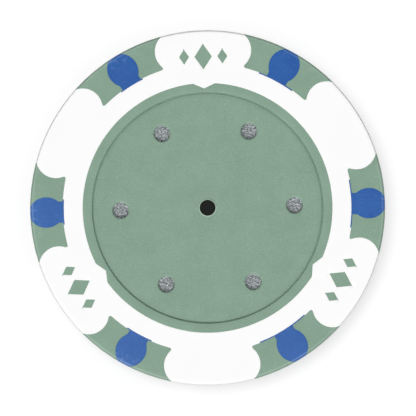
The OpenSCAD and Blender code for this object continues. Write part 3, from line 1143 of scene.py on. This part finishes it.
@dataclass(frozen=True)
class Mouldings:
    """The three plastic shots, cut out of one grid of bricks."""

    sizes: ChipSizes
    grid: FaceGrid
    # Rings round a pin hole: shares of the field's outline on the floor, number over the rounded mouth, and
    # share of the field's outline back under the floor
    floor_shares: tuple[float, ...] = (0.72, 0.46, 0.24, 0.1)
    mouth_rings: int = 6
    under_share: float = 0.5

    def pin_hole(self, spot: int, upper: bool, next_number: int) -> tuple[Array, Array]:
        """Carries a profile round a pin hole: over the floor, round the mouth, down the wall and back.

        The profile starts and ends on the field's own points. Between them each ring is a mix of the field's
        outline and a circle round the hole.

        Args:
            spot: Number of the spot on whose axis the hole lies.
            upper: True for the upper face.
            next_number: Number of the first new point.

        Returns:
            New points, and quads that join them to each other and to the grid.
        """
        s, grid = self.sizes, self.grid
        rows, columns = grid.pin_loop(spot)
        face_level, core_level = (len(Layer), Layer.HIGH_FOOT) if upper else (Layer.LOW_SKIN, Layer.LOW_CORE)
        outline = grid.points[rows, columns, face_level, :2]
        turn = spot * s.turn
        centre = s.pin_pitch_r * np.array([math.cos(turn), math.sin(turn)])
        bearing = np.arctan2(*(outline - centre).T[::-1])
        circle = np.stack([np.cos(bearing), np.sin(bearing)], axis=1)
        mouth = s.pin_r + s.pin_round
        profile = [
            *[(share, mouth, s.floor_z) for share in self.floor_shares],
            *[
                (0.0, mouth - s.pin_round * math.sin(t), s.floor_z - s.pin_round * (1 - math.cos(t)))
                for t in np.linspace(0, QUARTER_TURN, self.mouth_rings)
            ],
            *[(share, s.pin_r, s.slug_top) for share in (0.0, self.under_share)],
        ]
        share, radius, height = np.array(profile).T[:, :, None, None]
        flat = share * outline + (1 - share) * (centre + circle * radius)
        level = np.broadcast_to(height if upper else s.chip_t - height, (*flat.shape[:2], 1))
        points = np.concatenate([flat, level], axis=2)
        made = next_number + np.arange(points[..., 0].size).reshape(points.shape[:2])
        face_ring, core_ring = [grid.numbers()[rows, columns, end][None] for end in (face_level, core_level)]
        rings = np.concatenate([face_ring, made, core_ring])
        ahead = np.roll(rings, -1, axis=1)
        quads = np.stack([rings[:-1], ahead[:-1], ahead[1:], rings[1:]], axis=2).reshape(-1, 4)
        return points.reshape(-1, 3), quads if upper else quads[:, ::-1]

    def body(self, finish: MouldedPlastic) -> Piece:
        """Builds and dresses the green body with its pin holes.

        Args:
            finish: Finish of the body.

        Returns:
            The piece.
        """
        points = [self.grid.points.reshape(-1, 3)]
        quads = [self.grid.skin_of(Shot.BODY)]
        count = len(points[0])
        for spot in range(self.sizes.repeats):
            for upper in (True, False):
                new_points, new_quads = self.pin_hole(spot, upper, count)
                points.append(new_points)
                quads.append(new_quads)
                count += len(new_points)
        piece = make_piece(
            "green_body_moulding", np.concatenate(points), np.concatenate(quads), finish.material()
        )
        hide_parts("body_moulding")
        return piece

    def white(self, finish: MouldedPlastic) -> Piece:
        """Builds and dresses the white ring with its lobes.

        Args:
            finish: Finish of the white shot.

        Returns:
            The piece.
        """
        quads = self.grid.skin_of(Shot.WHITE)
        piece = make_piece("white_ring_and_lobes", self.grid.points.reshape(-1, 3), quads, finish.material())
        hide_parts("white_moulding")
        return piece

    def spots(self, finish: MouldedPlastic) -> list[Piece]:
        """Builds and dresses the six blue spots.

        Args:
            finish: Finish of the spots.

        Returns:
            The pieces in order round the chip.
        """
        material = finish.material()
        pieces = []
        for k in range(self.sizes.repeats):
            quads = self.grid.skin_of(Shot.FIRST_SPOT + k)
            piece = make_piece(f"blue_edge_spot_{k + 1}", self.grid.points.reshape(-1, 3), quads, material)
            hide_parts(f"edge_spot_{k + 1}")
            pieces.append(piece)
        return pieces


@dataclass(frozen=True)
class Slug:
    """The steel disc, which shows only at the bottom of the pin holes."""

    sizes: ChipSizes
    # Lumps of the pickled skin, drawn as coarse as they need to be to show
    grain: float = 0.18
    grain_height: float = 0.05
    seed: int = 7
    # Distances from a pin hole's wall between which the grain fades out
    fade: tuple[float, float] = (-0.08, 0.05)
    # Fine rows and columns where a pin hole shows the slug, with a margin, and coarse columns between them
    margin: float = 0.1
    fine_rows: int = 33
    fine_columns: int = 34
    coarse_columns: int = 8

    @property
    def shown(self) -> float:
        """Half width of the fine stretch under a pin hole."""
        return self.sizes.pin_r + self.margin

    def profile(self) -> Array:
        """Half section of the slug, fine where the pin holes show it.

        Returns:
            Radius and height of each corner: out along the top, down the wall and back along the underside.
        """
        s = self.sizes
        radii = np.concatenate([
            [s.sleeve_r, s.pin_pitch_r / 2],
            np.linspace(s.pin_pitch_r - self.shown, s.pin_pitch_r + self.shown, self.fine_rows),
            [s.slug_r - s.slug_chamfer],
        ])
        top = np.stack([radii, np.full_like(radii, s.slug_top)], axis=1)
        wall_top = s.slug_top - s.slug_chamfer
        wall = np.array([[s.slug_r, wall_top], [s.slug_r, s.chip_t - wall_top]])
        low = top[::-1] * [1, -1] + [0, s.chip_t]
        return np.concatenate([top, wall, low])

    def build(self, finish: RolledSteel) -> Piece:
        """Turns the half section round the axis and roughens the places that the pin holes show.

        Heights there come from two sizes of noise. Columns are close together only near the holes.

        Args:
            finish: Finish of the slug.

        Returns:
            The piece.
        """
        s = self.sizes
        r, z = self.profile().T[:, :, None]
        half = self.shown / s.pin_pitch_r
        sector = np.concatenate([
            np.linspace(-half, half, self.fine_columns),
            np.linspace(half, s.turn - half, self.coarse_columns)[1:-1],
        ])
        angle = (np.arange(s.repeats)[:, None] * s.turn + sector).ravel()
        x, y = r * np.cos(angle), r * np.sin(angle)
        nearest = np.round(angle / s.turn) * s.turn
        away = np.hypot(x - s.pin_pitch_r * np.cos(nearest), y - s.pin_pitch_r * np.sin(nearest))
        near = 1 - smooth_step(*[s.pin_r + distance for distance in self.fade], away)
        coarse = value_noise(x, y, self.grain, self.seed)
        fine = value_noise(x, y, self.grain / 2, self.seed + 1)
        face = np.isclose(np.abs(z - s.middle_z), s.slug_t / 2)
        z = z - np.sign(z - s.middle_z) * face * near * self.grain_height * (coarse + fine / 2)
        points = np.stack([x, y, z], axis=2)
        number = np.arange(x.size).reshape(x.shape)
        ahead, after = np.roll(number, -1, axis=1), np.roll(number, -1, axis=0)
        quads = np.stack([number, after, np.roll(ahead, -1, axis=0), ahead], axis=2)
        piece = make_piece("steel_slug_disc", points.reshape(-1, 3), quads.reshape(-1, 4), finish.material())
        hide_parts("steel_slug")
        return piece


@dataclass(frozen=True)
class Lamp:
    """One soft distant lamp that lights only some of the objects."""

    name: str
    azimuth: float
    elevation: float
    share: float
    softness: float

    def build(self, lit: list[bpy.types.Object]) -> None:
        """Makes the lamp, whose strength gives a level white surface that share of plain light.

        Args:
            lit: Objects that the lamp lights.
        """
        data = bpy.data.lights.new(self.name, "SUN")
        data.energy = self.share * math.pi / math.sin(self.elevation)
        data.angle = self.softness
        lamp = bpy.data.objects.new(self.name, data)
        lamp.rotation_euler = (0, QUARTER_TURN - self.elevation, self.azimuth)
        bpy.context.scene.collection.objects.link(lamp)
        receivers = bpy.data.collections.new(f"{self.name}_lit")
        for one in lit:
            receivers.objects.link(one)
        lamp.light_linking.receiver_collection = receivers


@dataclass(frozen=True)
class Studio:
    """Plain white table under a ring of soft sky, dark overhead, with a key lamp from the near side.

    The key lamp lights only the chip. The table has a lamp of its own, which draws the chip's soft shadow.
    """

    table_half: float = 3000.0
    table_drop: float = 0.02
    table_bounce: str = "#585858"
    table_white: str = "#E8E8E8"
    # Painted shade: dark tone that the table gives off under the chip, seen through the middle hole, and the
    # share of the chip's radius within which it holds
    table_under: str = "#232523"
    under_share: float = 0.9
    # Share of the open table's white that its shadows can take away
    shadow_share: float = 0.33
    # Strengths of the sky, and sines of the elevations between which it rises to the ring and falls overhead
    sky_low: float = 0.03
    sky_ring: float = 1.01
    sky_overhead: float = 0.08
    ring_rise: tuple[float, float] = (0.4, 0.75)
    ring_fall: tuple[float, float] = (0.9, 0.97)
    # Sines of the elevations between which the white that shows at the horizon ends
    horizon: tuple[float, float] = (0.13, 0.2)
    key: Lamp = Lamp(
        "key_lamp", azimuth=math.radians(252), elevation=math.radians(57),
        share=0.44, softness=math.radians(28),
    )
    table_lamp: Lamp = Lamp(
        "table_lamp", azimuth=math.radians(143), elevation=math.radians(75.5),
        share=0.75, softness=math.radians(32),
    )

    def build(self, chip_r: float, pieces: list[Piece]) -> None:
        """Makes the table, the lamps and the sky.

        Args:
            chip_r: Radius of the chip.
            pieces: The pieces of the chip.
        """
        table = self.table(chip_r)
        self.key.build(pieces)
        self.table_lamp.build([table])
        self.sky()

    def table(self, chip_r: float) -> bpy.types.Object:
        """Makes the table, a level square.

        Args:
            chip_r: Radius of the chip.

        Returns:
            The table.
        """
        half = self.table_half * MM
        corners = [(-half, -half), (half, -half), (half, half), (-half, half)]
        mesh = bpy.data.meshes.new("white_table")
        mesh.from_pydata([(x, y, -self.table_drop * MM) for x, y in corners], [], [(0, 1, 2, 3)])
        mesh.materials.append(self.paper(chip_r))
        table = bpy.data.objects.new("white_table", mesh)
        bpy.context.scene.collection.objects.link(table)
        return table

    def paper(self, chip_r: float) -> Material:
        """Makes the table's paper, which looks white by a share of its own light, so that shadows stay pale.

        Other rays than the camera's and the reflected ones meet plain grey paper. Under the chip the table
        gives off an even dark tone of its own, a painted shade for the middle hole.

        Args:
            chip_r: Radius of the chip.

        Returns:
            The material.
        """
        made = bpy.data.materials.new("white_paper_table")
        # The table's own light only shows the table, so it is not sampled as a lamp
        made.cycles.emission_sampling = "NONE"
        tree = empty_tree(made)
        place = add_node(tree, "ShaderNodeTexCoord").outputs["Object"]
        radius = add_node(tree, "ShaderNodeVectorMath", {0: place}, operation="LENGTH").outputs["Value"]
        outside = add_node(tree, "ShaderNodeMath", {
            0: radius, 1: self.under_share * chip_r * MM,
        }, operation="GREATER_THAN").outputs[0]
        back = add_node(tree, "ShaderNodeNewGeometry").outputs["Backfacing"]
        beyond = add_node(tree, "ShaderNodeMath", {0: outside, 1: back}, operation="MAXIMUM").outputs[0]
        open_table = add_node(tree, "ShaderNodeMath", {
            0: shown_rays(tree), 1: beyond,
        }, operation="MULTIPLY").outputs[0]
        open_share = add_node(tree, "ShaderNodeMath", {
            0: open_table, 1: 1 - self.shadow_share,
        }, operation="MULTIPLY").outputs[0]
        share = add_node(tree, "ShaderNodeMix", {0: beyond, 2: 1.0, 3: open_share}).outputs[0]
        # Under the chip the table's own light is the dark painted shade that shows through the middle hole
        tone, own_light = [
            add_node(tree, "ShaderNodeMix", {
                0: where, 6: linear(elsewhere), 7: linear(there),
            }, data_type="RGBA").outputs[2]
            for where, there, elsewhere in (
                (open_table, self.table_white, self.table_bounce),
                (beyond, WHITE, self.table_under),
            )
        ]
        paper = add_node(tree, "ShaderNodeBsdfDiffuse", {"Color": tone}).outputs[0]
        glow = add_node(tree, "ShaderNodeEmission", {"Color": own_light, "Strength": 1.0}).outputs[0]
        mixed = add_node(tree, "ShaderNodeMixShader", {0: share, 1: paper, 2: glow}).outputs[0]
        add_node(tree, "ShaderNodeOutputMaterial", {"Surface": mixed})
        return made

    def sky(self) -> None:
        """Makes a sky that is dim low down, bright in a ring and dark overhead.

        What the camera and the reflected rays see of it near the horizon is the white of the table.
        """
        world = bpy.data.worlds.new("studio_sky")
        bpy.context.scene.world = world
        tree = empty_tree(world)
        place = add_node(tree, "ShaderNodeTexCoord").outputs["Generated"]
        height = add_node(tree, "ShaderNodeSeparateXYZ", {0: place}).outputs["Z"]
        horizon, rise, fall = [
            add_node(tree, "ShaderNodeMapRange", {
                "Value": height, "From Min": low, "From Max": high, "To Min": below, "To Max": above,
            }, interpolation_type="SMOOTHSTEP").outputs["Result"]
            for (low, high), below, above in (
                (self.horizon, 1.0, 0.0),
                (self.ring_rise, self.sky_low, self.sky_ring),
                (self.ring_fall, 1.0, self.sky_overhead),
            )
        ]
        white = add_node(tree, "ShaderNodeMath", {
            0: horizon, 1: shown_rays(tree),
        }, operation="MULTIPLY").outputs[0]
        ring = add_node(tree, "ShaderNodeMath", {0: rise, 1: fall}, operation="MULTIPLY").outputs[0]
        level = add_node(tree, "ShaderNodeMath", {0: white, 1: ring}, operation="MAXIMUM").outputs[0]
        light = add_node(tree, "ShaderNodeBackground", {"Color": linear(WHITE), "Strength": level})
        add_node(tree, "ShaderNodeOutputWorld", {"Surface": light.outputs[0]})


@dataclass(frozen=True)
class PhotoCamera:
    """Long lens far above the chip, almost a parallel view, turned and centred as in the photograph."""

    image_px: float = 416.0
    chip_across_px: float = 355.4
    chip_centre_px: tuple[float, float] = (207.6, 207.8)
    roll: float = math.radians(1.68)
    lens: float = 1000.0
    sensor: float = 36.0
    nearest: float = 1.0
    farthest: float = 10000.0

    def build(self, sizes: ChipSizes) -> None:
        """Makes the camera, at the height where the chip's rim is as wide as in the photograph.

        Args:
            sizes: Sizes of the chip.
        """
        data = bpy.data.cameras.new("photo_camera")
        data.lens = self.lens
        data.sensor_width = self.sensor
        data.clip_start = self.nearest * MM
        data.clip_end = self.farthest * MM
        mm_a_px = 2 * sizes.chip_r / self.chip_across_px
        view_w = mm_a_px * self.image_px
        rim_z = sizes.chip_t - sizes.rim_round
        right, down = (np.array(self.chip_centre_px) - self.image_px / 2) * mm_a_px
        turn = -self.roll
        x = -right * math.cos(turn) - down * math.sin(turn)
        y = -right * math.sin(turn) + down * math.cos(turn)
        camera = bpy.data.objects.new("photo_camera", data)
        camera.location = (x * MM, y * MM, (rim_z + view_w * self.lens / self.sensor) * MM)
        camera.rotation_euler = (0, 0, turn)
        bpy.context.scene.collection.objects.link(camera)
        bpy.context.scene.camera = camera


def main() -> None:
    """Builds the chip, the studio and the camera in order, and reports each piece."""
    logging.basicConfig(level=logging.INFO, format="%(name)s: %(message)s")
    bpy.context.scene.view_settings.view_transform = "Standard"
    low, high = CAD_BOX
    sizes = ChipSizes(chip_r=(high.y - low.y) / 2 / MM, chip_t=(high.z - low.z) / MM)
    PhotoCamera().build(sizes)
    # The green's pale rim and hole lines are wear and painted highlight, and its recess shade is painted
    # shade
    green = MouldedPlastic(
        "styrene_moulded_sage_green", sizes, colour="#8CAA96", mottle="#72907C", worn="#BCCFC1",
        speck_share=0.2, scuff_share=0.2, scratch_share=0.15, rim_rub_share=0.5, hole_rub_share=2.2,
        grime_share=0.16,
    )
    white = MouldedPlastic("styrene_moulded_white", sizes, colour="#FEFEFE", mottle="#FAFAFA", worn=WHITE)
    # The blue's pale tint grows across the chip towards one side
    blue = MouldedPlastic(
        "styrene_moulded_blue", sizes, colour="#1D65B5", mottle="#03438F", worn="#93B4E2", roughness=0.34,
        speck_share=0.1, scuff_share=0.35, scratch_share=0.1, rim_rub_share=0.5, dull_share=0.1,
    )
    mouldings = Mouldings(sizes, FaceGrid(sizes))
    pieces = [
        Slug(sizes).build(RolledSteel()),
        mouldings.body(green),
        mouldings.white(white),
        *mouldings.spots(blue),
    ]
    for piece in pieces:
        log.info("%s has %d faces", piece.name, len(piece.data.polygons))
    Studio().build(sizes.chip_r, pieces)


if __name__ == "__main__":
    main()
